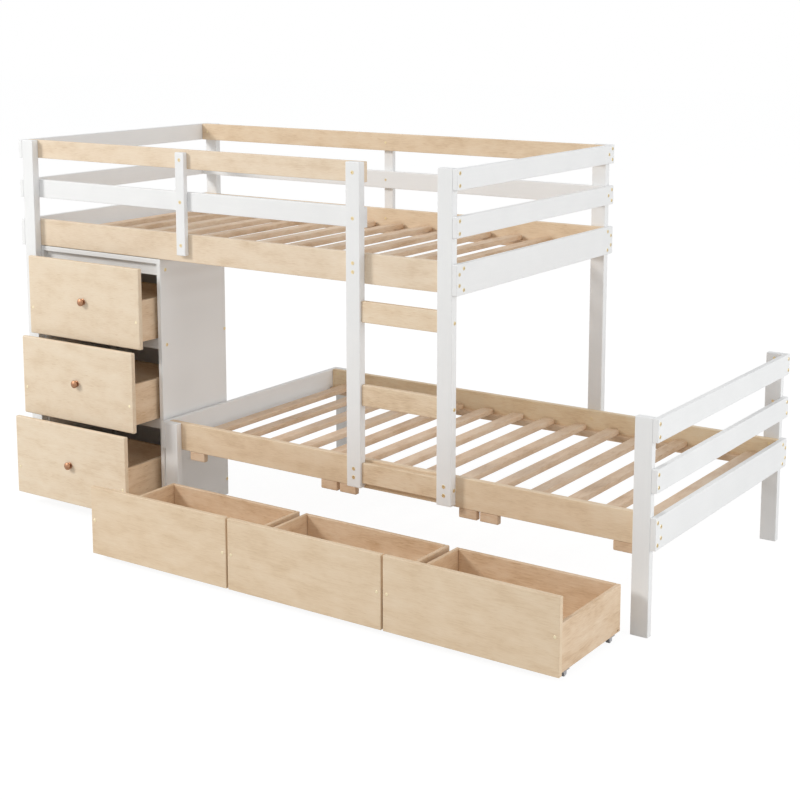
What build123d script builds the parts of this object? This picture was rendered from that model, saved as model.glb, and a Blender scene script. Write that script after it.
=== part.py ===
from build123d import *
import os

# Bunk bed: an upper bunk over a lower bed that is set further right, a drawer cabinet
# under the upper bunk's left end, and drawers on wheels that roll under the lower bed.
# Millimetres. X runs along the beds, Y from the front to the back, Z up.
# Sizes are counted from the upper bunk's front left corner on the floor. The saved
# parts are moved so that the origin lies on the floor under the middle of everything.

# Both beds
BED_LENGTH = 1960          # between the inner faces of the end boards
BED_WIDTH = 1093           # over the outer faces of the upper posts
RAIL_THICK = 22
END_BOARD_THICK = 19
RAIL_HEIGHT = 102
SLAT_COUNT = 14
SLAT_WIDTH = 50
SLAT_THICK = 20
SLAT_PITCH = 137.5
SLAT_END_GAP = 7
DECK_ABOVE_RAIL_BOTTOM = 48
LEDGER_WIDTH = 25
LEDGER_HEIGHT = 25
LEDGER_END_GAP = 4
EDGE_EASE = 2.5
SLAT_EASE = 5
RUNG_EASE = 3
BLOCK_EASE = 4
PANEL_EASE = 1.5
BOX_EASE = 3
THIN_EASE = 0.8

# Upper bunk
POST_WIDTH = 57
POST_DEPTH = 30
TOP_Z = 1392
SHORT_POST_FOOT_Z = 285
UPPER_RAIL_Z = 984.5
GUARD_HEIGHT = 69
GUARD_MIDDLE_TOP_Z = 1239.5
FRONT_GUARD_LENGTH = 1594
UPRIGHT_WIDTH = 42
UPRIGHT_THICK = 19
UPRIGHT_Z = (1010, 1383)
FRONT_UPRIGHT_X = 797.5
BACK_UPRIGHT_X = BED_LENGTH / 2
UPRIGHT_BOLT_Z = (1047, 1204, 1356)

# Ladder, hung between its own stile and the upper bunk's front right post
STILE_X = 1541
STILE_WIDTH = 57
RUNG_Y = (8, 28)
RUNG_HEIGHT = 72
RUNG_CENTRE_Z = (337, 608, 893)

# Lower bed
LOWER_X = 705
LEG_WIDTH = 59
LEG_DEPTH = 25
LOWER_RAIL_Z = 279
TALL_LEG_Z = 688
LOWER_END_TOP_HEIGHT = 74
LOWER_END_MIDDLE_TOP_Z = 532
STOP_WIDTH = 70
STOP_HEIGHT = 33
STOP_DEPTH = 20
STOP_X = (802, 1406, 1486, 1970, 2050, 2529)

# Drawers that roll under the lower bed
ROLL_FRONT = 607
ROLL_GAP = 7
ROLL_FRONT_THICK = 18
ROLL_FRONT_Z = (21, 261)
ROLL_FRONT_Y = -440
ROLL_BOX_INSET = 10
ROLL_BOX_DEPTH = 388
ROLL_BOX_HEIGHT = 150
ROLL_WALL = 14
ROLL_FLOOR_THICK = 6
ROLL_FLOOR_LIFT = 6
WHEEL_RADIUS = 9
WHEEL_WIDTH = 12
WHEEL_EASE = 1.2
WHEEL_BORE_RADIUS = 2.08
AXLE_RADIUS = 2
CHEEK_THICK = 1.5
CHEEK_GAP = 13
CHEEK_LENGTH = 16
CHEEK_FOOT_Z = 4.5
CHEEK_FOOT_RADIUS = 4
CHEEK_INTO_PLATE = 1
CASTER_PLATE_THICK = 2
CASTER_PLATE_LENGTH = 38
CASTER_PLATE_WIDTH = 24
CASTER_PLATE_EASE = 0.5
CASTER_FROM_FRONT = 46
CASTER_FROM_BACK = 54
CASTER_FROM_SIDE = 12

# Cabinet
CABINET_X = (48, 676)
CABINET_Y = (30, 390)
CABINET_TOP_Z = 982.5
PANEL_THICK = 18
BACK_THICK = 6
BACK_INSET = 2
FRONT_RAIL_SETBACK = 18.5
TOP_RAIL_HEIGHT = 46
DIVIDER_HEIGHT = 40
DIVIDER_BELOW_FRONT = 15
PLINTH_HEIGHT = 40

# Cabinet drawers, lowest first, each with how far it stands open
FRONT_HEIGHT = 301
FRONT_PITCH = 305
LOWEST_FRONT_Z = 45
FRONT_GAP = 9
FRONT_THICK = 18
OPEN_BY = (180, 132, 87)
BOX_DEPTH = 300
BOX_WALL = 12
BOX_HEIGHT = 154
BOX_LIFT = 28
BOX_SIDE_GAP = 15
BOX_FLOOR_THICK = 5
BOX_FLOOR_LIFT = 8
RUNNER_WIDTH = 29
RUNNER_HEIGHT = 18
RUNNER_GUIDE_WIDTH = 13.5
RUNNER_GUIDE_HEIGHT = 14
RUNNER_CLEARANCE = 0.5
KNOB_BASE_RADIUS = 12
KNOB_BASE_THICK = 2.5
KNOB_NECK_RADIUS = 6
KNOB_RADIUS = 14.5
KNOB_LENGTH = 21
KNOB_HEAD_LENGTH = 12
KNOB_CROWN_FALL = 3
KNOB_FLAT_RADIUS = 3

# Fasteners
HEAD_RADIUS = 6.5
HEAD_PROUD = 1
HEAD_SUNK = 1.5
HEAD_CHAMFER = 0.6
SOCKET_RADIUS = 2.9
SOCKET_DEPTH = 1.8
SHANK_RADIUS = 3
BOLT_PAST_NUT = 4
NUT_RADIUS = 5
NUT_SETBACK = 29
NUT_SLOT = 1.4
SLEEVE_RADIUS = 4
SLEEVE_CAP_RADIUS = 5
SLEEVE_LENGTH = 12
PAIR_SPACING = 40
WIDE_PAIR_SPACING = 70
NARROW_PAIR_SPACING = 36
LAP_PAIR_SPACING = 30
LAP_PAIR_LIFT = 5
PANEL_BOLT_INTO_RAIL = 27
PANEL_BOLT_FROM_BACK = 7
PANEL_BOLT_Z = (63, 360, 666, 941)

# Places that follow from the sizes above
FRONT_RAIL_Y = (POST_DEPTH, POST_DEPTH + RAIL_THICK)
BACK_RAIL_Y = (BED_WIDTH - POST_DEPTH - RAIL_THICK, BED_WIDTH - POST_DEPTH)
FRONT_LEG_Y = (POST_DEPTH - LEG_DEPTH, POST_DEPTH)
BACK_LEG_Y = (BED_WIDTH - POST_DEPTH, BED_WIDTH - POST_DEPTH + LEG_DEPTH)
UPPER_RAIL_SPAN = (UPPER_RAIL_Z, UPPER_RAIL_Z + RAIL_HEIGHT)
LOWER_RAIL_SPAN = (LOWER_RAIL_Z, LOWER_RAIL_Z + RAIL_HEIGHT)
GUARD_TOP_SPAN = (TOP_Z - GUARD_HEIGHT, TOP_Z)
GUARD_MIDDLE_SPAN = (GUARD_MIDDLE_TOP_Z - GUARD_HEIGHT, GUARD_MIDDLE_TOP_Z)
LOWER_TOP_SPAN = (TALL_LEG_Z - LOWER_END_TOP_HEIGHT, TALL_LEG_Z)
LOWER_MIDDLE_SPAN = (LOWER_END_MIDDLE_TOP_Z - LOWER_END_TOP_HEIGHT, LOWER_END_MIDDLE_TOP_Z)
LOWER_RIGHT_X = LOWER_X + BED_LENGTH
RIGHT_POST_X = BED_LENGTH - POST_WIDTH
STILE_END_X = STILE_X + STILE_WIDTH

# The origin: the middle of the whole set's outline, on the floor
MIDDLE_X = LOWER_RIGHT_X / 2
MIDDLE_Y = (ROLL_FRONT_Y + BED_WIDTH + HEAD_PROUD) / 2


def middle(span):
    return (span[0] + span[1]) / 2


def board(x, y, z, ease=EDGE_EASE):
    """A board between the given low and high X, Y and Z, with every edge eased."""
    size = (x[1] - x[0], y[1] - y[0], z[1] - z[0])
    solid = Pos(middle(x), middle(y), middle(z)) * Box(*size)
    return fillet(solid.edges(), ease)


def rod(radius, start, end):
    """A round bar along its own Z."""
    return Pos(0, 0, start) * Cylinder(radius, end - start, align=(Align.CENTER, Align.CENTER, Align.MIN))


def near(a, b):
    """True where two bounding boxes meet."""
    return all(
        getattr(a.min, k) < getattr(b.max, k) and getattr(b.min, k) < getattr(a.max, k) for k in "XYZ"
    )


fasteners = []
bores = []


def bores_near(solid):
    box = solid.bounding_box()
    return [bore for bore, bore_box in bores if near(box, bore_box)]


def fit(place, solid, bore):
    """Keeps a fastener and the room that it takes in the timber."""
    fasteners.append(place * solid)
    bore = place * bore
    bores.append((bore, bore.bounding_box()))


def cap_of(radius):
    """A flat round head, chamfered, that stands a little proud of the timber."""
    head = rod(radius, -HEAD_PROUD, HEAD_SUNK)
    return chamfer(head.edges().group_by(Axis.Z)[0], HEAD_CHAMFER)


def bolt(head_at, into, length):
    """A brass bolt with a hexagon socket, its head sunk a little into the timber."""
    place = Plane(origin=head_at, z_dir=into).location
    shank = rod(SHANK_RADIUS, HEAD_SUNK, length)
    socket = extrude(Pos(0, 0, -HEAD_PROUD) * RegularPolygon(SOCKET_RADIUS, 6), SOCKET_DEPTH)
    seat = rod(HEAD_RADIUS, -HEAD_PROUD, HEAD_SUNK)
    fit(place, cap_of(HEAD_RADIUS) + shank - socket, seat + shank)


def barrel_nut(mouth_at, into, length):
    """A cross dowel with a slot, flush with the face that it is pushed in from."""
    place = Plane(origin=mouth_at, z_dir=into).location
    barrel = rod(NUT_RADIUS, 0, length)
    slot = Pos(0, 0, NUT_SLOT / 2) * Box(NUT_SLOT, 2 * NUT_RADIUS, NUT_SLOT)
    taken = [place.inverse() * bore for bore in bores_near(place * barrel)]
    fit(place, barrel - slot - taken, barrel)


def through_bolt(head_at, into, thickness):
    """A bolt that draws against a capped sleeve nut on the far face."""
    bolt(head_at, into, thickness - SLEEVE_LENGTH)
    far = tuple(h + d * thickness for h, d in zip(head_at, into))
    back = tuple(-d for d in into)
    place = Plane(origin=far, z_dir=back).location
    sleeve = rod(SLEEVE_RADIUS, HEAD_SUNK, SLEEVE_LENGTH)
    fit(place, cap_of(SLEEVE_CAP_RADIUS) + sleeve, rod(SLEEVE_CAP_RADIUS, -HEAD_PROUD, HEAD_SUNK) + sleeve)


def end_board_bolts(face_x, into, z, upright_y, rail_y, upright_spacing, rail_spacings, nut_side):
    """The bolts at one corner of an end board.

    They pass through the board into the upright, and into the ends of the rails
    behind it where rail_spacings names any. A spacing of 0 is one bolt.
    """
    run = (into, 0, 0)
    depth = END_BOARD_THICK + NUT_SETBACK + NUT_RADIUS + BOLT_PAST_NUT
    nut_x = face_x + into * (END_BOARD_THICK + NUT_SETBACK)
    for side in (-1, 1):
        at = (face_x, middle(upright_y), z + side * upright_spacing / 2)
        bolt(at, run, depth)
    mouth_y = upright_y[1] if nut_side > 0 else upright_y[0]
    nut_depth = (upright_y[1] - upright_y[0]) / 2 + NUT_RADIUS
    barrel_nut((nut_x, mouth_y, z + upright_spacing / 2), (0, -nut_side, 0), nut_depth)
    for spacing in rail_spacings:
        for side in {-1, 1} if spacing else {0}:
            bolt((face_x, middle(rail_y), z + side * spacing / 2), run, depth)
        mouth_y = rail_y[1] if nut_side > 0 else rail_y[0]
        nut_depth = RAIL_THICK / 2 + NUT_RADIUS
        barrel_nut((nut_x, mouth_y, z + spacing / 2), (0, -nut_side, 0), nut_depth)


def upper_end_bolts():
    low_z, top_z, middle_z = middle(UPPER_RAIL_SPAN), middle(GUARD_TOP_SPAN), middle(GUARD_MIDDLE_SPAN)
    front_y, back_y = (0, POST_DEPTH), (BED_WIDTH - POST_DEPTH, BED_WIDTH)
    ends = ((-END_BOARD_THICK, 1), (BED_LENGTH + END_BOARD_THICK, -1))
    for face_x, into in ends:
        for upright_y, rail_y, nut_side in ((front_y, FRONT_RAIL_Y, 1), (back_y, BACK_RAIL_Y, -1)):
            guarded = [0] if into > 0 or nut_side < 0 else []
            for z in (top_z, middle_z):
                end_board_bolts(face_x, into, z, upright_y, rail_y, PAIR_SPACING, guarded, nut_side)
            end_board_bolts(face_x, into, low_z, upright_y, rail_y, NARROW_PAIR_SPACING,
                            [WIDE_PAIR_SPACING], nut_side)


def lower_end_bolts():
    rail_z = middle(LOWER_RAIL_SPAN)
    right_x = LOWER_RIGHT_X + END_BOARD_THICK
    for face_x, into in ((LOWER_X - END_BOARD_THICK, 1), (right_x, -1)):
        end_board_bolts(face_x, into, rail_z, FRONT_LEG_Y, FRONT_RAIL_Y, WIDE_PAIR_SPACING,
                        [NARROW_PAIR_SPACING], 1)
        end_board_bolts(face_x, into, rail_z, BACK_LEG_Y, BACK_RAIL_Y, NARROW_PAIR_SPACING,
                        [WIDE_PAIR_SPACING], -1)
    for z in (middle(LOWER_TOP_SPAN), middle(LOWER_MIDDLE_SPAN)):
        end_board_bolts(right_x, -1, z, FRONT_LEG_Y, FRONT_RAIL_Y, PAIR_SPACING, [], 1)
        end_board_bolts(right_x, -1, z, BACK_LEG_Y, BACK_RAIL_Y, PAIR_SPACING, [], -1)


def lapped_bolts():
    """Bolts through the stile, the short posts and the uprights into the rails behind."""
    lap = POST_DEPTH + RAIL_THICK
    stile_x = STILE_X + STILE_WIDTH / 2
    post_x = BED_LENGTH - POST_WIDTH / 2
    pair = [LAP_PAIR_LIFT + side * LAP_PAIR_SPACING / 2 for side in (-1, 1)]
    upper_pair = [middle(UPPER_RAIL_SPAN) + rise for rise in pair]
    lower_pair = [middle(LOWER_RAIL_SPAN) + rise for rise in pair]
    for z in lower_pair + upper_pair + [middle(GUARD_MIDDLE_SPAN), middle(GUARD_TOP_SPAN)]:
        through_bolt((stile_x, 0, z), (0, 1, 0), lap)
    for z in lower_pair:
        through_bolt((post_x, 0, z), (0, 1, 0), lap)
    through_bolt((post_x, BED_WIDTH, max(lower_pair)), (0, -1, 0), lap)
    for z in UPRIGHT_BOLT_Z:
        front_y = POST_DEPTH - UPRIGHT_THICK
        through_bolt((FRONT_UPRIGHT_X, front_y, z), (0, 1, 0), UPRIGHT_THICK + RAIL_THICK)
        back_y = BED_WIDTH - POST_DEPTH + UPRIGHT_THICK
        through_bolt((BACK_UPRIGHT_X, back_y, z), (0, -1, 0), UPRIGHT_THICK + RAIL_THICK)


def rung_bolts():
    reach = NUT_SETBACK + NUT_RADIUS + BOLT_PAST_NUT
    for z in RUNG_CENTRE_Z:
        y = middle(RUNG_Y)
        bolt((BED_LENGTH, y, z), (-1, 0, 0), POST_WIDTH + reach)
        bolt((STILE_X, y, z), (1, 0, 0), STILE_WIDTH + reach)
        for x in (RIGHT_POST_X - NUT_SETBACK, STILE_END_X + NUT_SETBACK):
            barrel_nut((x, RUNG_Y[1], z), (0, -1, 0), middle(RUNG_Y) - RUNG_Y[0] + NUT_RADIUS)


def panel_bolts():
    """Bolts through the cabinet's sides into its front rails, and along its back edge."""
    front_y = CABINET_Y[0] + FRONT_RAIL_SETBACK + PANEL_THICK / 2
    back_y = CABINET_Y[1] - PANEL_BOLT_FROM_BACK
    rails = [PLINTH_HEIGHT / 2] + [divider_z(i) + DIVIDER_HEIGHT / 2 for i in (1, 2)]
    rails.append(CABINET_TOP_Z - PANEL_THICK - TOP_RAIL_HEIGHT / 2)
    for x, into in ((CABINET_X[0], 1), (CABINET_X[1], -1)):
        for z in rails:
            bolt((x, front_y, z), (into, 0, 0), PANEL_THICK + PANEL_BOLT_INTO_RAIL)
        for z in PANEL_BOLT_Z:
            bolt((x, back_y, z), (into, 0, 0), PANEL_THICK - PANEL_EASE)


def divider_z(index):
    """The underside of the rail below the cabinet drawer of this index."""
    return LOWEST_FRONT_Z + index * FRONT_PITCH - DIVIDER_BELOW_FRONT


def posts():
    front, back = (0, POST_DEPTH), (BED_WIDTH - POST_DEPTH, BED_WIDTH)
    left, right = (0, POST_WIDTH), (RIGHT_POST_X, BED_LENGTH)
    return {
        "upper_post_front_left": board(left, front, (0, TOP_Z)),
        "upper_post_back_left": board(left, back, (0, TOP_Z)),
        "upper_post_front_right": board(right, front, (SHORT_POST_FOOT_Z, TOP_Z)),
        "upper_post_back_right": board(right, back, (SHORT_POST_FOOT_Z, TOP_Z)),
    }


def upper_rails():
    whole = (0, BED_LENGTH)
    front = (0, FRONT_GUARD_LENGTH)
    return {
        "upper_side_rail_front": board(whole, FRONT_RAIL_Y, UPPER_RAIL_SPAN),
        "upper_side_rail_back": board(whole, BACK_RAIL_Y, UPPER_RAIL_SPAN),
        "guard_rail_top_front": board(front, FRONT_RAIL_Y, GUARD_TOP_SPAN),
        "guard_rail_middle_front": board(front, FRONT_RAIL_Y, GUARD_MIDDLE_SPAN),
        "guard_rail_top_back": board(whole, BACK_RAIL_Y, GUARD_TOP_SPAN),
        "guard_rail_middle_back": board(whole, BACK_RAIL_Y, GUARD_MIDDLE_SPAN),
    }


def uprights():
    half = UPRIGHT_WIDTH / 2
    front_y = (POST_DEPTH - UPRIGHT_THICK, POST_DEPTH)
    back_y = (BED_WIDTH - POST_DEPTH, BED_WIDTH - POST_DEPTH + UPRIGHT_THICK)
    return {
        "guard_upright_front": board((FRONT_UPRIGHT_X - half, FRONT_UPRIGHT_X + half), front_y, UPRIGHT_Z),
        "guard_upright_back": board((BACK_UPRIGHT_X - half, BACK_UPRIGHT_X + half), back_y, UPRIGHT_Z),
    }


def end_boards():
    upper_y = (0, BED_WIDTH)
    lower_y = (FRONT_LEG_Y[0], BACK_LEG_Y[1])
    upper_spans = (UPPER_RAIL_SPAN, GUARD_MIDDLE_SPAN, GUARD_TOP_SPAN)
    lower_spans = (LOWER_RAIL_SPAN, LOWER_MIDDLE_SPAN, LOWER_TOP_SPAN)
    left = (-END_BOARD_THICK, 0)
    right = (BED_LENGTH, BED_LENGTH + END_BOARD_THICK)
    lower_left = (LOWER_X - END_BOARD_THICK, LOWER_X)
    lower_right = (LOWER_RIGHT_X, LOWER_RIGHT_X + END_BOARD_THICK)
    return {
        "upper_end_boards_left": [board(left, upper_y, z) for z in upper_spans],
        "upper_end_boards_right": [board(right, upper_y, z) for z in upper_spans],
        "lower_end_board_left": [board(lower_left, lower_y, LOWER_RAIL_SPAN)],
        "lower_end_boards_right": [board(lower_right, lower_y, z) for z in lower_spans],
    }


def slat_deck(start_x, rail_z):
    """Slats across the bed, evenly spread between its end boards."""
    margin = (BED_LENGTH - (SLAT_COUNT - 1) * SLAT_PITCH - SLAT_WIDTH) / 2
    y = (FRONT_RAIL_Y[1] + SLAT_END_GAP, BACK_RAIL_Y[0] - SLAT_END_GAP)
    z = (rail_z + DECK_ABOVE_RAIL_BOTTOM - SLAT_THICK, rail_z + DECK_ABOVE_RAIL_BOTTOM)
    slats = []
    for index in range(SLAT_COUNT):
        x = start_x + margin + index * SLAT_PITCH
        slats.append(board((x, x + SLAT_WIDTH), y, z, SLAT_EASE))
    return slats


def ledgers():
    """The strips on the inner faces of the side rails that carry the slats."""
    strips = []
    for start_x, rail_z in ((0, UPPER_RAIL_Z), (LOWER_X, LOWER_RAIL_Z)):
        x = (start_x + LEDGER_END_GAP, start_x + BED_LENGTH - LEDGER_END_GAP)
        top = rail_z + DECK_ABOVE_RAIL_BOTTOM - SLAT_THICK
        z = (top - LEDGER_HEIGHT, top)
        strips.append(board(x, (FRONT_RAIL_Y[1], FRONT_RAIL_Y[1] + LEDGER_WIDTH), z, PANEL_EASE))
        strips.append(board(x, (BACK_RAIL_Y[0] - LEDGER_WIDTH, BACK_RAIL_Y[0]), z, PANEL_EASE))
    return strips


def ladder():
    rung_x = (STILE_END_X, RIGHT_POST_X)
    half = RUNG_HEIGHT / 2
    rungs = [board(rung_x, RUNG_Y, (z - half, z + half), RUNG_EASE) for z in RUNG_CENTRE_Z]
    stile = board((STILE_X, STILE_END_X), (0, POST_DEPTH), (SHORT_POST_FOOT_Z, TOP_Z))
    return {"ladder_stile": stile, "ladder_rungs": rungs}


def lower_frame():
    left = (LOWER_X, LOWER_X + LEG_WIDTH)
    right = (LOWER_RIGHT_X - LEG_WIDTH, LOWER_RIGHT_X)
    rail_x = (LOWER_X, LOWER_RIGHT_X)
    short_z = (0, LOWER_RAIL_SPAN[1])
    return {
        "lower_leg_front_left": board(left, FRONT_LEG_Y, short_z),
        "lower_leg_back_left": board(left, BACK_LEG_Y, short_z),
        "lower_leg_front_right": board(right, FRONT_LEG_Y, (0, TALL_LEG_Z)),
        "lower_leg_back_right": board(right, BACK_LEG_Y, (0, TALL_LEG_Z)),
        "lower_side_rail_front": board(rail_x, FRONT_RAIL_Y, LOWER_RAIL_SPAN),
        "lower_side_rail_back": board(rail_x, BACK_RAIL_Y, LOWER_RAIL_SPAN),
    }


def drawer_stops():
    """Blocks under the front rail that the rolling drawers' fronts come home against."""
    y = (FRONT_RAIL_Y[1] - STOP_DEPTH, FRONT_RAIL_Y[1])
    z = (LOWER_RAIL_Z - STOP_HEIGHT, LOWER_RAIL_Z)
    return [board((x, x + STOP_WIDTH), y, z, BLOCK_EASE) for x in STOP_X]


def cabinet():
    inner_x = (CABINET_X[0] + PANEL_THICK, CABINET_X[1] - PANEL_THICK)
    back_y = (CABINET_Y[1] - BACK_INSET - BACK_THICK, CABINET_Y[1] - BACK_INSET)
    rail_y = (CABINET_Y[0] + FRONT_RAIL_SETBACK, CABINET_Y[0] + FRONT_RAIL_SETBACK + PANEL_THICK)
    under_top = CABINET_TOP_Z - PANEL_THICK
    rails = [
        board(inner_x, rail_y, (under_top - TOP_RAIL_HEIGHT, under_top), PANEL_EASE),
        board(inner_x, rail_y, (0, PLINTH_HEIGHT), PANEL_EASE),
    ]
    for index in (1, 2):
        z = divider_z(index)
        rails.append(board(inner_x, rail_y, (z, z + DIVIDER_HEIGHT), PANEL_EASE))
    panel_z = (0, CABINET_TOP_Z)
    inside_y = (CABINET_Y[0], back_y[0])
    floor_y = (rail_y[1], back_y[0])
    floor_z = (PLINTH_HEIGHT - PANEL_THICK, PLINTH_HEIGHT)
    return {
        "cabinet_panel_left": board((CABINET_X[0], inner_x[0]), CABINET_Y, panel_z, PANEL_EASE),
        "cabinet_panel_right": board((inner_x[1], CABINET_X[1]), CABINET_Y, panel_z, PANEL_EASE),
        "cabinet_top": board(inner_x, inside_y, (under_top, CABINET_TOP_Z), PANEL_EASE),
        "cabinet_bottom": board(inner_x, floor_y, floor_z, PANEL_EASE),
        "cabinet_back": board(inner_x, back_y, (0, CABINET_TOP_Z), THIN_EASE),
        "cabinet_front_rails": rails,
        "cabinet_runners": cabinet_runners(inner_x, (rail_y[1], back_y[0])),
    }


def cabinet_runners(inner_x, y):
    """On each side of each drawer, a ledge under the box and a guide strip beside it."""
    runners = []
    for index in range(len(OPEN_BY)):
        top = LOWEST_FRONT_Z + index * FRONT_PITCH + BOX_LIFT - RUNNER_CLEARANCE
        for wall_x, side in ((inner_x[0], 1), (inner_x[1], -1)):
            ledge_x = sorted((wall_x, wall_x + side * RUNNER_WIDTH))
            guide_x = sorted((wall_x, wall_x + side * RUNNER_GUIDE_WIDTH))
            runners.append(board(ledge_x, y, (top - RUNNER_HEIGHT, top), THIN_EASE))
            runners.append(board(guide_x, y, (top, top + RUNNER_GUIDE_HEIGHT), THIN_EASE))
    return runners


def knob(x, y, z):
    """A turned knob on a drawer front, drawn as half its outline and spun."""
    head_start = KNOB_LENGTH - KNOB_HEAD_LENGTH
    widest = head_start + KNOB_HEAD_LENGTH / 3
    crown = KNOB_LENGTH - KNOB_CROWN_FALL
    rim = KNOB_RADIUS - KNOB_CROWN_FALL
    outline = make_face([
        Line((0, 0), (KNOB_BASE_RADIUS, 0)),
        Line((KNOB_BASE_RADIUS, 0), (KNOB_BASE_RADIUS, KNOB_BASE_THICK)),
        Line((KNOB_BASE_RADIUS, KNOB_BASE_THICK), (KNOB_NECK_RADIUS, 2 * KNOB_BASE_THICK)),
        Line((KNOB_NECK_RADIUS, 2 * KNOB_BASE_THICK), (KNOB_NECK_RADIUS, head_start)),
        Line((KNOB_NECK_RADIUS, head_start), (rim, head_start)),
        ThreePointArc((rim, head_start), (KNOB_RADIUS, widest), (rim, crown)),
        ThreePointArc((rim, crown), (rim / 2, KNOB_LENGTH - KNOB_CROWN_FALL / 4), (KNOB_FLAT_RADIUS, KNOB_LENGTH)),
        Line((KNOB_FLAT_RADIUS, KNOB_LENGTH), (0, KNOB_LENGTH)),
        Line((0, KNOB_LENGTH), (0, 0)),
    ])
    turned = revolve(Plane.XZ * outline, axis=Axis.Z)
    return Plane(origin=(x, y, z), z_dir=(0, -1, 0)).location * turned


def drawer_box(x, y, z, wall, floor_thick, floor_lift, ease):
    """Two sides, a back and a floor, open at the front where the drawer front closes it."""
    inner_x = (x[0] + wall, x[1] - wall)
    inner_y = (y[0], y[1] - wall)
    floor_z = (z[0] + floor_lift, z[0] + floor_lift + floor_thick)
    return [
        board((x[0], inner_x[0]), y, z, ease),
        board((inner_x[1], x[1]), y, z, ease),
        board(inner_x, (y[1] - wall, y[1]), z, ease),
        board(inner_x, inner_y, floor_z, THIN_EASE),
    ]


def cabinet_drawer(index):
    front_x = (CABINET_X[0] + PANEL_THICK + FRONT_GAP, CABINET_X[1] - PANEL_THICK - FRONT_GAP)
    box_x = (CABINET_X[0] + PANEL_THICK + BOX_SIDE_GAP, CABINET_X[1] - PANEL_THICK - BOX_SIDE_GAP)
    bottom = LOWEST_FRONT_Z + index * FRONT_PITCH
    face = CABINET_Y[0] - OPEN_BY[index]
    back_of_front = face + FRONT_THICK
    box_z = (bottom + BOX_LIFT, bottom + BOX_LIFT + BOX_HEIGHT)
    name = f"cabinet_drawer_{index + 1}"
    front = board(front_x, (face, back_of_front), (bottom, bottom + FRONT_HEIGHT), BLOCK_EASE)
    box_y = (back_of_front, back_of_front + BOX_DEPTH)
    return {
        f"{name}_front": front,
        f"{name}_box": drawer_box(
            box_x, box_y, box_z, BOX_WALL, BOX_FLOOR_THICK, BOX_FLOOR_LIFT, PANEL_EASE
        ),
        f"{name}_knob": knob(middle(front_x), face, bottom + FRONT_HEIGHT / 2),
    }


def caster_housing(x, y, top):
    """A plate with two cheeks and the axle between them."""
    plate = board(
        (x - CASTER_PLATE_WIDTH / 2, x + CASTER_PLATE_WIDTH / 2),
        (y - CASTER_PLATE_LENGTH / 2, y + CASTER_PLATE_LENGTH / 2),
        (top - CASTER_PLATE_THICK, top),
        CASTER_PLATE_EASE,
    )
    housing = plate
    cheek_top = top - CHEEK_INTO_PLATE
    for side in (-1, 1):
        near_x = x + side * CHEEK_GAP / 2
        far_x = near_x + side * CHEEK_THICK
        centre = (middle((near_x, far_x)), y, middle((CHEEK_FOOT_Z, cheek_top)))
        cheek = Pos(*centre) * Box(CHEEK_THICK, CHEEK_LENGTH, cheek_top - CHEEK_FOOT_Z)
        foot_edges = cheek.edges().filter_by(Axis.X).group_by(Axis.Z)[0]
        housing += fillet(foot_edges, CHEEK_FOOT_RADIUS)
    half = CHEEK_GAP / 2 + CHEEK_THICK
    axle = Pos(x, y, WHEEL_RADIUS) * Rot(0, 90, 0) * rod(AXLE_RADIUS, -half, half)
    return housing + axle


def wheel(x, y):
    tyre = Pos(x, y, WHEEL_RADIUS) * Rot(0, 90, 0) * rod(WHEEL_RADIUS, -WHEEL_WIDTH / 2, WHEEL_WIDTH / 2)
    tyre = fillet(tyre.edges(), WHEEL_EASE)
    bore = Pos(x, y, WHEEL_RADIUS) * Rot(0, 90, 0) * rod(WHEEL_BORE_RADIUS, -WHEEL_WIDTH, WHEEL_WIDTH)
    return tyre - bore


def rolling_drawer(index):
    bay = (LOWER_X + LEG_WIDTH, LOWER_RIGHT_X - LEG_WIDTH)
    width = 3 * ROLL_FRONT + 2 * ROLL_GAP
    left = middle(bay) - width / 2 + index * (ROLL_FRONT + ROLL_GAP)
    front_x = (left, left + ROLL_FRONT)
    box_x = (left + ROLL_BOX_INSET, left + ROLL_FRONT - ROLL_BOX_INSET)
    box_y = (ROLL_FRONT_Y + ROLL_FRONT_THICK, ROLL_FRONT_Y + ROLL_FRONT_THICK + ROLL_BOX_DEPTH)
    floor_z = ROLL_FRONT_Z[0]
    name = f"rolling_drawer_{index + 1}"
    wheel_x = (box_x[0] + CASTER_FROM_SIDE, box_x[1] - CASTER_FROM_SIDE)
    front_y = box_y[0] + CASTER_FROM_FRONT
    back_y = box_y[1] - CASTER_FROM_BACK
    box_z = (floor_z, floor_z + ROLL_BOX_HEIGHT)
    return {
        f"{name}_front": board(front_x, (ROLL_FRONT_Y, box_y[0]), ROLL_FRONT_Z),
        f"{name}_box": drawer_box(
            box_x, box_y, box_z, ROLL_WALL, ROLL_FLOOR_THICK, ROLL_FLOOR_LIFT, BOX_EASE
        ),
        f"{name}_casters": [caster_housing(x, y, floor_z) for x in wheel_x for y in (front_y, back_y)],
        f"{name}_front_wheels": [wheel(x, front_y) for x in wheel_x],
        f"{name}_back_wheels": [wheel(x, back_y) for x in wheel_x],
    }


def drilled(solids):
    """Timber with the fasteners' bores cut out of it."""
    touching = [bores_near(solid) for solid in solids]
    return [solid - cuts if cuts else solid for solid, cuts in zip(solids, touching)]


def save(name, solids):
    moved = [Pos(-MIDDLE_X, -MIDDLE_Y, 0) * solid for solid in solids]
    shape = moved[0] if len(moved) == 1 else Compound(children=moved)
    export_step(shape, f"parts/{name}.step")


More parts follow.
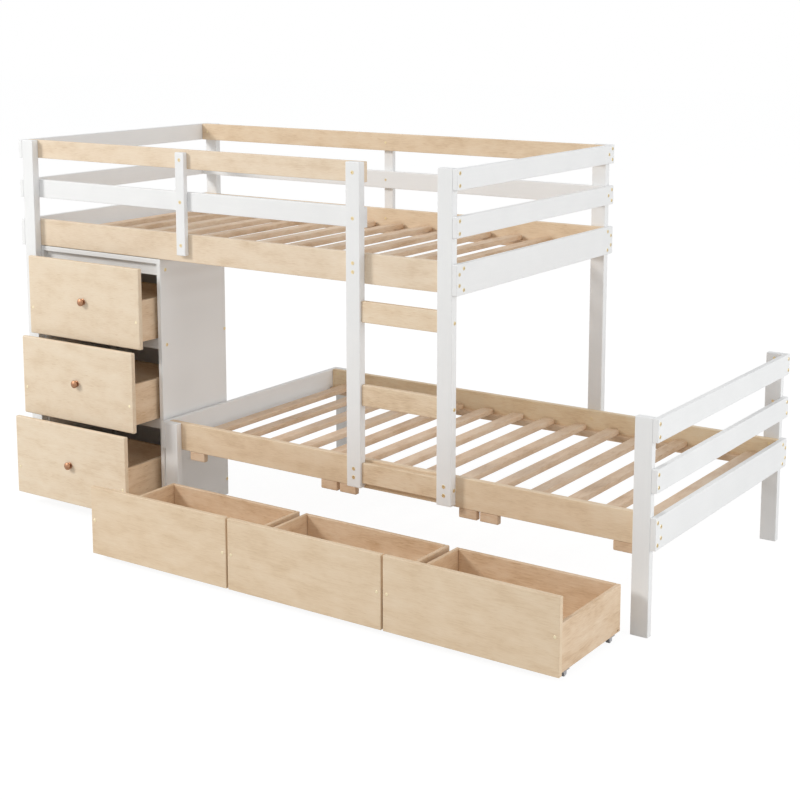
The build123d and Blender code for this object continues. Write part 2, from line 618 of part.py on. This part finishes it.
def main():
    os.makedirs("parts", exist_ok=True)
    upper_end_bolts()
    lower_end_bolts()
    lapped_bolts()
    rung_bolts()
    panel_bolts()

    timber = {}
    for group in (posts(), upper_rails(), uprights(), end_boards(), ladder(), lower_frame(), cabinet()):
        timber.update(group)
    timber["upper_slats"] = slat_deck(0, UPPER_RAIL_Z)
    timber["lower_slats"] = slat_deck(LOWER_X, LOWER_RAIL_Z)
    timber["slat_ledgers"] = ledgers()
    timber["drawer_stop_blocks"] = drawer_stops()
    for name, piece in timber.items():
        save(name, drilled(piece if isinstance(piece, list) else [piece]))

    moving = {}
    for index in range(len(OPEN_BY)):
        moving.update(cabinet_drawer(index))
    for index in range(3):
        moving.update(rolling_drawer(index))
    for name, piece in moving.items():
        save(name, piece if isinstance(piece, list) else [piece])

    save("connector_bolts", fasteners)


main()
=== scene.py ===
import math

import bmesh
import bpy
from mathutils import Matrix, Vector


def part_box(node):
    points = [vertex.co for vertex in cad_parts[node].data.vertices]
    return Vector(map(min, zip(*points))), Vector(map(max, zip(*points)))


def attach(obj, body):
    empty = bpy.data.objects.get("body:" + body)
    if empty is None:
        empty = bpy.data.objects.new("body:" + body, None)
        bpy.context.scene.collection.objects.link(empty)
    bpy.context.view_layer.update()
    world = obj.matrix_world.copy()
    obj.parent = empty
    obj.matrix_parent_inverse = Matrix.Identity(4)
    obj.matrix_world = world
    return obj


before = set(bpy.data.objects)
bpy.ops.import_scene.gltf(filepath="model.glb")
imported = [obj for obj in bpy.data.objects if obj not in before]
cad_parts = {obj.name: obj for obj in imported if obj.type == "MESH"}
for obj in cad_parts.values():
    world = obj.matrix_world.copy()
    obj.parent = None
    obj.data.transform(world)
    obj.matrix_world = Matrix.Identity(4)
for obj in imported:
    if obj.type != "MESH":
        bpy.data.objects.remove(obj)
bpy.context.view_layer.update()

MM = 0.001

# Spacing of the slats along X and of the ladder's rungs up Z
SLAT_PITCH = 0.1375
RUNG_PITCH = 0.278

# How far in from each side of a drawer box the grain runs front to back
BOX_SIDE_BAND = 14.5 * MM

# Pins in the drawer fronts: how far in from the front's ends and up from its foot
PIN_PLACES = {"cabinet": (17 * MM, 102 * MM), "rolling": (15 * MM, 120 * MM)}
PIN_RADIUS = 5.0 * MM
PIN_RISE = 0.8 * MM

# Screws in the rolling boxes' sides, placed from the box's back and foot
SCREW_FROM_BACK = 16 * MM
SCREW_UP = 8 * MM
SCREW_RADIUS = 3.0 * MM
SCREW_RISE = 0.6 * MM

# Caps of both: how deep the base stands in the board, and how much of the rise is rounded
CAP_SUNK = 0.4 * MM
CAP_ROUNDED = 0.75
CAP_SEGMENTS = 28
CAP_ROUND_SEGMENTS = 3

# Patterns are (stretch along the grain, scale, detail) and, where it is given, distortion
FIBRES = (0.09, 380, 3.0)
GROWTH_BANDS = (0.11, 8, 1.5, 0.35)
MOTTLE = (0.5, 21, 3.0)
FLECKS = (0.12, 330, 1.0)
PAINT_GRAIN = (0.05, 160, 3.0)
PAINT_CLOUD = (1.0, 9, 2.0)

# Patterns that run no particular way are (scale, detail)
BOARD_PEBBLE = (900, 1.0)
BOARD_CLOUD = (5, 1.0)
PLASTIC_GRAIN = (700, 2.0)
BRUSH_DETAIL = 2.0

# How far each seed moves the patterns of timber and of paint
WOOD_STEP = (3.1, 7.7, 5.3)
PAINT_STEP = (2.3, 4.1, 6.7)

# What each pattern adds to the tone of timber, from 0 for the darkest to 1 for the palest
NOISE_MIDDLE = 0.5
FIGURE_WAVES = 46
FLECK_RANGE = (-1.5, 1.6)
FLECK_START = 0.42
FIBRE_SHARE = 0.9
FIGURE_SHARE = 0.07
MOTTLE_SHARE = 1.1
FLECK_SHARE = 0.6
BOARD_SHARE = 0.3
USUAL_TONE = 0.51

# The darkest, the usual and the palest colour of each cut of timber
CABINET_FRONT = ((0.0, (0.62, 0.45, 0.285)), (0.5, (0.79, 0.65, 0.485)), (1.0, (0.87, 0.76, 0.61)))
ROLLING_FRONT = ((0.0, (0.60, 0.42, 0.25)), (0.5, (0.77, 0.605, 0.425)), (1.0, (0.86, 0.72, 0.55)))
PALE_RAIL = ((0.0, (0.62, 0.45, 0.285)), (0.5, (0.80, 0.65, 0.485)), (1.0, (0.88, 0.755, 0.60)))
WARM_RAIL = ((0.0, (0.61, 0.43, 0.26)), (0.5, (0.79, 0.62, 0.435)), (1.0, (0.87, 0.73, 0.555)))
# The lower back rail's colours are paler and more golden than its timber: painted light that lifts the
# shade on its inner face
PAINTED_LIGHT_RAIL = ((0.0, (0.68, 0.47, 0.27)), (0.5, (0.88, 0.70, 0.47)), (1.0, (0.93, 0.80, 0.60)))
SLAT = ((0.0, (0.54, 0.35, 0.20)), (0.5, (0.73, 0.535, 0.37)), (1.0, (0.82, 0.66, 0.50)))
BOX = ((0.0, (0.56, 0.37, 0.21)), (0.5, (0.74, 0.555, 0.38)), (1.0, (0.83, 0.67, 0.50)))

# The white paint's share of grain and of cloud, and the colours of paint and of board
PAINT_GRAIN_SHARE = 0.35
PAINT_CLOUD_SHARE = 0.65
PAINT_COLOURS = ((0.25, (0.845, 0.848, 0.848)), (0.75, (0.885, 0.886, 0.884)))
BOARD_COLOURS = ((0.2, (0.85, 0.85, 0.845)), (0.8, (0.885, 0.885, 0.88)))

# Where the dark and the light colour of metal and plastic stand on their ramp
DARK_STOP = 0.3
LIGHT_STOP = 0.7

# The smoothest and the roughest part of each surface
WOOD_ROUGHNESS = (0.4, 0.55)
PAINT_ROUGHNESS = (0.34, 0.46)
BOARD_ROUGHNESS = (0.42, 0.52)
WOOD_SPECULAR = 0.4

# Relief as (depth in metres, strength)
WOOD_RELIEF = (0.00025, 0.35)
PAINT_RELIEF = (0.0002, 0.3)
BOARD_RELIEF = (0.00008, 0.25)
METAL_RELIEF = (0.00004, 0.3)
PLASTIC_RELIEF = (0.00006, 0.4)

# The floor's size, its colours for the camera and for other rays, and the surround's light
FLOOR_SIZE = 60
FLOOR_SHOWN = (0.14, 0.14, 0.14, 1)
FLOOR_BOUNCE = (0.82, 0.82, 0.81, 1)
FLOOR_GLOW = 0.92
SURROUND_LIGHT = (0.97, 0.985, 1.0, 1)
SURROUND_STRENGTH = 0.56
WHITE = (1, 1, 1, 1)

# The camera, fitted to the bed's straight edges; its angles are in degrees
CAMERA_PLACE = (3.2419, -4.4593, 1.8867)
CAMERA_DOWN = 8.981
CAMERA_ROUND = 34.258
CAMERA_LENS = 70.18
CAMERA_SENSOR = 36
CAMERA_SHIFT = -0.18
CAMERA_REACH = 100


class Finish:
    """A material's node tree, with short ways to add to it."""

    def __init__(self, name):
        self.material = bpy.data.materials.new(name)
        self.material.use_nodes = True
        self.nodes = self.material.node_tree.nodes
        self.links = self.material.node_tree.links
        self.shader = self.nodes["Principled BSDF"]
        self.place = self.nodes.new("ShaderNodeTexCoord").outputs["Object"]

    def join(self, source, target):
        self.links.new(source, target)

    def feed(self, name, source):
        """Drives one of the surface's own values."""
        self.join(source, self.shader.inputs[name])

    def math(self, operation, a, b=None):
        node = self.nodes.new("ShaderNodeMath")
        node.operation = operation
        for socket, value in zip(node.inputs, (a, b)):
            if value is None:
                continue
            if isinstance(value, (int, float)):
                socket.default_value = value
            else:
                self.join(value, socket)
        return node.outputs[0]

    def centred(self, noise):
        """Noise moved so that its middle is at nought."""
        return self.math("SUBTRACT", noise, NOISE_MIDDLE)

    def stretched(self, scale, shift, source):
        node = self.nodes.new("ShaderNodeMapping")
        node.inputs["Scale"].default_value = scale
        node.inputs["Location"].default_value = shift
        self.join(source, node.inputs["Vector"])
        return node.outputs[0]

    def noise(self, vector, scale, detail, distortion=0.0):
        node = self.nodes.new("ShaderNodeTexNoise")
        node.inputs["Scale"].default_value = scale
        node.inputs["Detail"].default_value = detail
        node.inputs["Distortion"].default_value = distortion
        self.join(vector, node.inputs["Vector"])
        return node.outputs[0]

    def drawn_out(self, along, shift, source, stretch, *noise):
        """Noise drawn out along one axis."""
        scale = tuple(stretch if letter == along else 1.0 for letter in "xyz")
        return self.noise(self.stretched(scale, shift, source), *noise)

    def ramp(self, value, stops):
        node = self.nodes.new("ShaderNodeValToRGB")
        elements = node.color_ramp.elements
        while len(elements) < len(stops):
            elements.new(0.5)
        for element, (position, colour) in zip(elements, stops):
            element.position = position
            element.color = (*colour, 1)
        self.join(value, node.inputs["Fac"])
        return node.outputs["Color"]

    def spread(self, value, low, high):
        node = self.nodes.new("ShaderNodeMapRange")
        node.inputs["To Min"].default_value = low
        node.inputs["To Max"].default_value = high
        self.join(value, node.inputs["Value"])
        return node.outputs[0]

    def bump(self, height, depth, strength):
        node = self.nodes.new("ShaderNodeBump")
        node.inputs["Strength"].default_value = strength
        node.inputs["Distance"].default_value = depth
        self.join(height, node.inputs["Height"])
        self.feed("Normal", node.outputs[0])


def stepped(seed, step):
    """How far one seed moves a pattern."""
    return tuple(seed * length for length in step)


def clear_wood(name, along, seed, stops, cell=None, turned=None, contrast=1.0):
    """Pale timber under a clear satin lacquer, its grain running along one axis.

    cell is (axis, pitch, start): each board of a row takes its own tone.
    turned is (middle, half): further than half from the middle in X, the grain runs along Y
    where along says X.
    contrast is how strongly the grain shows.
    """
    wood = Finish(name)
    split = wood.nodes.new("ShaderNodeSeparateXYZ")
    wood.join(wood.place, split.inputs[0])
    place = wood.place
    if turned:
        middle, half = turned
        off_middle = wood.math("ABSOLUTE", wood.math("SUBTRACT", split.outputs["X"], middle))
        swap = wood.nodes.new("ShaderNodeCombineXYZ")
        wood.join(split.outputs["Y"], swap.inputs["X"])
        wood.join(split.outputs["X"], swap.inputs["Y"])
        wood.join(split.outputs["Z"], swap.inputs["Z"])
        either = wood.nodes.new("ShaderNodeMix")
        either.data_type = "VECTOR"
        wood.join(wood.math("GREATER_THAN", off_middle, half), either.inputs["Factor"])
        wood.join(wood.place, either.inputs[4])
        wood.join(swap.outputs[0], either.inputs[5])
        place = either.outputs[1]

    shift = stepped(seed, WOOD_STEP)
    fibres = wood.drawn_out(along, shift, place, *FIBRES)
    bands = wood.drawn_out(along, shift, place, *GROWTH_BANDS)
    figure = wood.math("SINE", wood.math("MULTIPLY", bands, FIGURE_WAVES))
    mottle = wood.drawn_out(along, shift, place, *MOTTLE)
    flecks = wood.spread(wood.drawn_out(along, shift, place, *FLECKS), *FLECK_RANGE)
    flecks = wood.math("MAXIMUM", wood.math("SUBTRACT", flecks, FLECK_START), 0.0)

    tone = wood.math("MULTIPLY", wood.centred(fibres), FIBRE_SHARE)
    tone = wood.math("ADD", tone, wood.math("MULTIPLY", figure, FIGURE_SHARE))
    tone = wood.math("ADD", tone, wood.math("MULTIPLY", wood.centred(mottle), MOTTLE_SHARE))
    tone = wood.math("SUBTRACT", tone, wood.math("MULTIPLY", flecks, FLECK_SHARE))
    tone = wood.math("ADD", wood.math("MULTIPLY", tone, contrast), USUAL_TONE)
    if cell:
        axis, pitch, start = cell
        from_start = wood.math("SUBTRACT", split.outputs[axis], start)
        number = wood.math("FLOOR", wood.math("DIVIDE", from_start, pitch))
        each = wood.nodes.new("ShaderNodeTexWhiteNoise")
        each.noise_dimensions = "1D"
        wood.join(number, each.inputs["W"])
        own = wood.centred(each.outputs["Value"])
        tone = wood.math("ADD", tone, wood.math("MULTIPLY", own, BOARD_SHARE))
    wood.feed("Base Color", wood.ramp(tone, stops))
    wood.feed("Roughness", wood.spread(fibres, *WOOD_ROUGHNESS))
    wood.shader.inputs["Specular IOR Level"].default_value = WOOD_SPECULAR
    wood.bump(fibres, *WOOD_RELIEF)
    return wood.material


def white_paint(name, along, seed):
    """Satin white paint on timber, with the grain just telling through it."""
    paint = Finish(name)
    shift = stepped(seed, PAINT_STEP)
    grain = paint.drawn_out(along, shift, paint.place, *PAINT_GRAIN)
    cloud = paint.drawn_out(along, shift, paint.place, *PAINT_CLOUD)
    tone = paint.math("ADD", paint.math("MULTIPLY", grain, PAINT_GRAIN_SHARE),
                      paint.math("MULTIPLY", cloud, PAINT_CLOUD_SHARE))
    paint.feed("Base Color", paint.ramp(tone, PAINT_COLOURS))
    paint.feed("Roughness", paint.spread(cloud, *PAINT_ROUGHNESS))
    paint.bump(grain, *PAINT_RELIEF)
    return paint.material


def white_board(name):
    """The cabinet's smooth white-faced board."""
    face = Finish(name)
    pebble = face.noise(face.place, *BOARD_PEBBLE)
    cloud = face.noise(face.place, *BOARD_CLOUD)
    face.feed("Base Color", face.ramp(cloud, BOARD_COLOURS))
    face.feed("Roughness", face.spread(cloud, *BOARD_ROUGHNESS))
    face.bump(pebble, *BOARD_RELIEF)
    return face.material


def worn_metal(name, dark, light, smooth, rough, brush):
    """Plated metal with faint turning marks; brush is how fine they are."""
    metal = Finish(name)
    marks = metal.noise(metal.place, brush, BRUSH_DETAIL)
    metal.feed("Base Color", metal.ramp(marks, ((DARK_STOP, dark), (LIGHT_STOP, light))))
    metal.feed("Roughness", metal.spread(marks, smooth, rough))
    metal.shader.inputs["Metallic"].default_value = 1.0
    metal.bump(marks, *METAL_RELIEF)
    return metal.material


def moulded_plastic(name, dark, light, smooth, rough):
    """Plain plastic with a fine grain."""
    plastic = Finish(name)
    grain = plastic.noise(plastic.place, *PLASTIC_GRAIN)
    plastic.feed("Base Color", plastic.ramp(grain, ((DARK_STOP, dark), (LIGHT_STOP, light))))
    plastic.feed("Roughness", plastic.spread(grain, smooth, rough))
    plastic.bump(grain, *PLASTIC_RELIEF)
    return plastic.material


def dress(names, material):
    """Puts one material on whole pieces of the frame."""
    for name in names:
        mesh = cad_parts[name].data
        mesh.materials.clear()
        mesh.materials.append(material)


def dress_white_parts():
    dress(["upper_post_front_left", "upper_post_back_left", "upper_post_front_right",
           "upper_post_back_right", "guard_upright_front", "guard_upright_back", "ladder_stile",
           "lower_leg_front_left", "lower_leg_back_left", "lower_leg_front_right",
           "lower_leg_back_right"], white_paint("white paint on posts", "z", seed=1))
    dress(["guard_rail_middle_front", "guard_rail_middle_back"],
          white_paint("white paint on guard rails", "x", seed=2))
    dress(["upper_end_boards_left", "upper_end_boards_right", "lower_end_board_left",
           "lower_end_boards_right"], white_paint("white paint on end boards", "y", seed=3))
    dress(["cabinet_panel_left", "cabinet_panel_right", "cabinet_top", "cabinet_bottom",
           "cabinet_back", "cabinet_front_rails"], white_board("white cabinet board"))


def dress_timber_parts():
    # The lower back rail takes the paler colours, painted light on its shaded inner face
    rails = (("upper_side_rail_front", PALE_RAIL), ("upper_side_rail_back", WARM_RAIL),
             ("guard_rail_top_front", PALE_RAIL), ("guard_rail_top_back", WARM_RAIL),
             ("lower_side_rail_front", WARM_RAIL), ("lower_side_rail_back", PAINTED_LIGHT_RAIL))
    for seed, (name, tones) in enumerate(rails, start=4):
        material = clear_wood(name.replace("_", " ") + " wood", "x", seed, tones, contrast=0.75)
        dress([name], material)
    dress(["slat_ledgers", "cabinet_runners"], clear_wood("ledger strip wood", "x", 11, SLAT))
    dress(["drawer_stop_blocks"], clear_wood("stop block wood", "x", 12, SLAT))
    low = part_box("ladder_rungs")[0].z - RUNG_PITCH / 2
    dress(["ladder_rungs"], clear_wood("rung wood", "x", 13, WARM_RAIL, cell=("Z", RUNG_PITCH, low)))
    for seed, name in enumerate(("upper_slats", "lower_slats"), start=14):
        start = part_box(name)[0].x - SLAT_PITCH / 3
        material = clear_wood(name.replace("_", " ") + " wood", "y", seed, SLAT,
                              cell=("X", SLAT_PITCH, start))
        dress([name], material)


def dress_drawers():
    copper = worn_metal("brushed copper knobs", (0.37, 0.185, 0.10), (0.53, 0.30, 0.19),
                        smooth=0.46 - 0.06, rough=0.46 + 0.08, brush=300)
    wheel = moulded_plastic("grey caster wheels", (0.20, 0.20, 0.21), (0.28, 0.28, 0.29),
                            smooth=0.45 - 0.05, rough=0.45 + 0.08)
    housing = moulded_plastic("grey caster housings", (0.40, 0.40, 0.42), (0.50, 0.50, 0.52),
                              smooth=0.4 - 0.05, rough=0.4 + 0.08)
    for index in (1, 2, 3):
        for kind, seed, tones in (("cabinet", 20, CABINET_FRONT), ("rolling", 30, ROLLING_FRONT)):
            name = f"{kind}_drawer_{index}"
            dress([f"{name}_front"], clear_wood(f"{kind} drawer {index} front wood", "x", seed + index,
                                                tones, contrast=0.6))
            low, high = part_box(f"{name}_box")
            middle, half = (low.x + high.x) / 2, (high.x - low.x) / 2 - BOX_SIDE_BAND
            dress([f"{name}_box"], clear_wood(f"{kind} drawer {index} box wood", "x", seed + index + 4,
                                              BOX, turned=(middle, half)))
        dress([f"cabinet_drawer_{index}_knob"], copper)
        dress([f"rolling_drawer_{index}_casters"], housing)
        dress([f"rolling_drawer_{index}_front_wheels", f"rolling_drawer_{index}_back_wheels"], wheel)


def dress_bolts():
    brass = worn_metal("pale brass", (0.84, 0.68, 0.40), (0.93, 0.80, 0.53),
                       smooth=0.34 - 0.06, rough=0.34 + 0.08, brush=500)
    dress(["connector_bolts"], brass)


def finished_piece(name, bm, material, body):
    mesh = bpy.data.meshes.new(name)
    bm.to_mesh(mesh)
    bm.free()
    mesh.materials.append(material)
    for face in mesh.polygons:
        face.use_smooth = True
    piece = bpy.data.objects.new(name, mesh)
    bpy.context.scene.collection.objects.link(piece)
    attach(piece, body)


def domed_cap(bm, place, radius, rise):
    """A low domed cap, its base set just into the board."""
    made = bmesh.ops.create_circle(bm, cap_ends=True, segments=CAP_SEGMENTS, radius=radius)
    face = made["verts"][0].link_faces[0]
    up = bmesh.ops.extrude_face_region(bm, geom=[face])["geom"]
    top = [v for v in up if isinstance(v, bmesh.types.BMVert)]
    bmesh.ops.translate(bm, verts=top, vec=(0, 0, rise + CAP_SUNK))
    for level in (made["verts"], top):
        bmesh.ops.translate(bm, verts=level, vec=(0, 0, -CAP_SUNK))
    rim = {e for v in top for e in v.link_edges if all(u in top for u in e.verts)}
    bevelled = bmesh.ops.bevel(bm, geom=list(rim), offset=rise * CAP_ROUNDED,
                               segments=CAP_ROUND_SEGMENTS, profile=0.5, affect="EDGES",
                               material=-1, offset_type="OFFSET")
    verts = set(made["verts"]) | {v for v in top if v.is_valid} | set(bevelled["verts"])
    verts |= {v for f in bevelled["faces"] for v in f.verts}
    bmesh.ops.transform(bm, matrix=place, verts=list(verts))


def facing_front(x, y, z):
    """A place on a face that looks to the front."""
    return Matrix.Translation((x, y, z)) @ Matrix.Rotation(math.radians(90), 4, "X")


def facing_side(x, y, z, way):
    """A place on a face that looks to the left for way -1 and to the right for 1."""
    return Matrix.Translation((x, y, z)) @ Matrix.Rotation(math.radians(90 * way), 4, "Y")


def front_pins():
    """The two small pins that show on each drawer front."""
    bright = worn_metal("bright brass pins", (0.95, 0.82, 0.56), (1.0, 0.90, 0.66),
                        smooth=0.3 - 0.06, rough=0.3 + 0.08, brush=500)
    for kind, (inset, up) in PIN_PLACES.items():
        for index in (1, 2, 3):
            name = f"{kind}_drawer_{index}"
            low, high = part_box(f"{name}_front")
            bm = bmesh.new()
            for x in (low.x + inset, high.x - inset):
                domed_cap(bm, facing_front(x, low.y, low.z + up), PIN_RADIUS, PIN_RISE)
            finished_piece(f"{name}_pins", bm, bright, name)


def corner_screws():
    """A small dark screw low at the back of each side of the rolling boxes."""
    bronze = worn_metal("dark bronze screws", (0.26, 0.17, 0.11), (0.36, 0.25, 0.17),
                        smooth=0.5 - 0.06, rough=0.5 + 0.08, brush=500)
    for index in (1, 2, 3):
        name = f"rolling_drawer_{index}"
        low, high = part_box(f"{name}_box")
        y, z = high.y - SCREW_FROM_BACK, low.z + SCREW_UP
        bm = bmesh.new()
        for x, way in ((low.x, -1), (high.x, 1)):
            domed_cap(bm, facing_side(x, y, z, way), SCREW_RADIUS, SCREW_RISE)
        finished_piece(f"{name}_screws", bm, bronze, name)


def emptied_tree(block):
    """The node tree of a material or a world, with nothing left in it."""
    block.use_nodes = True
    nodes, links = block.node_tree.nodes, block.node_tree.links
    nodes.clear()
    return nodes, links


def coloured(nodes, kind, colour):
    node = nodes.new(kind)
    node.inputs["Color"].default_value = colour
    return node


def pale_floor():
    """A floor that keeps the bed's shadow for the camera and is plain and pale to other rays."""
    bpy.ops.mesh.primitive_plane_add(size=FLOOR_SIZE, location=(0, 0, 0))
    floor = bpy.context.object
    floor.name = "pale_floor"
    material = bpy.data.materials.new("pale floor")
    nodes, links = emptied_tree(material)
    out = nodes.new("ShaderNodeOutputMaterial")
    path = nodes.new("ShaderNodeLightPath")
    bounce = coloured(nodes, "ShaderNodeBsdfDiffuse", FLOOR_BOUNCE)
    shown = coloured(nodes, "ShaderNodeBsdfDiffuse", FLOOR_SHOWN)
    glow = coloured(nodes, "ShaderNodeEmission", WHITE)
    glow.inputs["Strength"].default_value = FLOOR_GLOW
    both = nodes.new("ShaderNodeAddShader")
    either = nodes.new("ShaderNodeMixShader")
    links.new(shown.outputs[0], both.inputs[0])
    links.new(glow.outputs[0], both.inputs[1])
    links.new(path.outputs["Is Camera Ray"], either.inputs[0])
    links.new(bounce.outputs[0], either.inputs[1])
    links.new(both.outputs[0], either.inputs[2])
    links.new(either.outputs[0], out.inputs["Surface"])
    floor.data.materials.append(material)


def white_surround():
    """White to the camera and in reflections, and a softer light on everything else."""
    world = bpy.data.worlds.new("white surround")
    bpy.context.scene.world = world
    nodes, links = emptied_tree(world)
    out = nodes.new("ShaderNodeOutputWorld")
    path = nodes.new("ShaderNodeLightPath")
    lit = coloured(nodes, "ShaderNodeBackground", SURROUND_LIGHT)
    lit.inputs["Strength"].default_value = SURROUND_STRENGTH
    seen = coloured(nodes, "ShaderNodeBackground", WHITE)
    seen.inputs["Strength"].default_value = 1.0
    rays = nodes.new("ShaderNodeMath")
    rays.operation = "MAXIMUM"
    either = nodes.new("ShaderNodeMixShader")
    links.new(path.outputs["Is Camera Ray"], rays.inputs[0])
    links.new(path.outputs["Is Glossy Ray"], rays.inputs[1])
    links.new(rays.outputs[0], either.inputs[0])
    links.new(lit.outputs[0], either.inputs[1])
    links.new(seen.outputs[0], either.inputs[2])
    links.new(either.outputs[0], out.inputs["Surface"])


def softbox(name, place, aim, size, power, colour):
    """A square lamp panel, out of the camera's sight."""
    lamp = bpy.data.lights.new(name, "AREA")
    lamp.shape = "SQUARE"
    lamp.size = size
    lamp.energy = power
    lamp.color = colour
    holder = bpy.data.objects.new(name, lamp)
    holder.location = place
    holder.rotation_mode = "QUATERNION"
    holder.rotation_quaternion = (Vector(place) - Vector(aim)).to_track_quat("Z", "Y")
    holder.visible_camera = False
    bpy.context.scene.collection.objects.link(holder)


def studio_lamps():
    softbox("front left softbox", place=(-6.3, -6.3, 5.6), aim=(0, 0, 0.6), size=2.2, power=495,
            colour=(1.0, 0.99, 0.97))
    softbox("right softbox", place=(8.0, 0.5, 2.6), aim=(0, 0.2, 0.8), size=4.6, power=225,
            colour=(1.0, 1.0, 1.0))


def camera_at_photo():
    data = bpy.data.cameras.new("bed camera")
    data.lens = CAMERA_LENS
    data.sensor_width = CAMERA_SENSOR
    data.shift_y = CAMERA_SHIFT
    data.clip_end = CAMERA_REACH
    camera = bpy.data.objects.new("bed camera", data)
    camera.location = CAMERA_PLACE
    camera.rotation_euler = (math.radians(90 - CAMERA_DOWN), 0, math.radians(CAMERA_ROUND))
    bpy.context.scene.collection.objects.link(camera)
    bpy.context.scene.camera = camera


def main():
    dress_white_parts()
    dress_timber_parts()
    dress_drawers()
    dress_bolts()
    front_pins()
    corner_screws()
    pale_floor()
    white_surround()
    studio_lamps()
    camera_at_photo()
    bpy.context.scene.view_settings.view_transform = "Standard"


main()
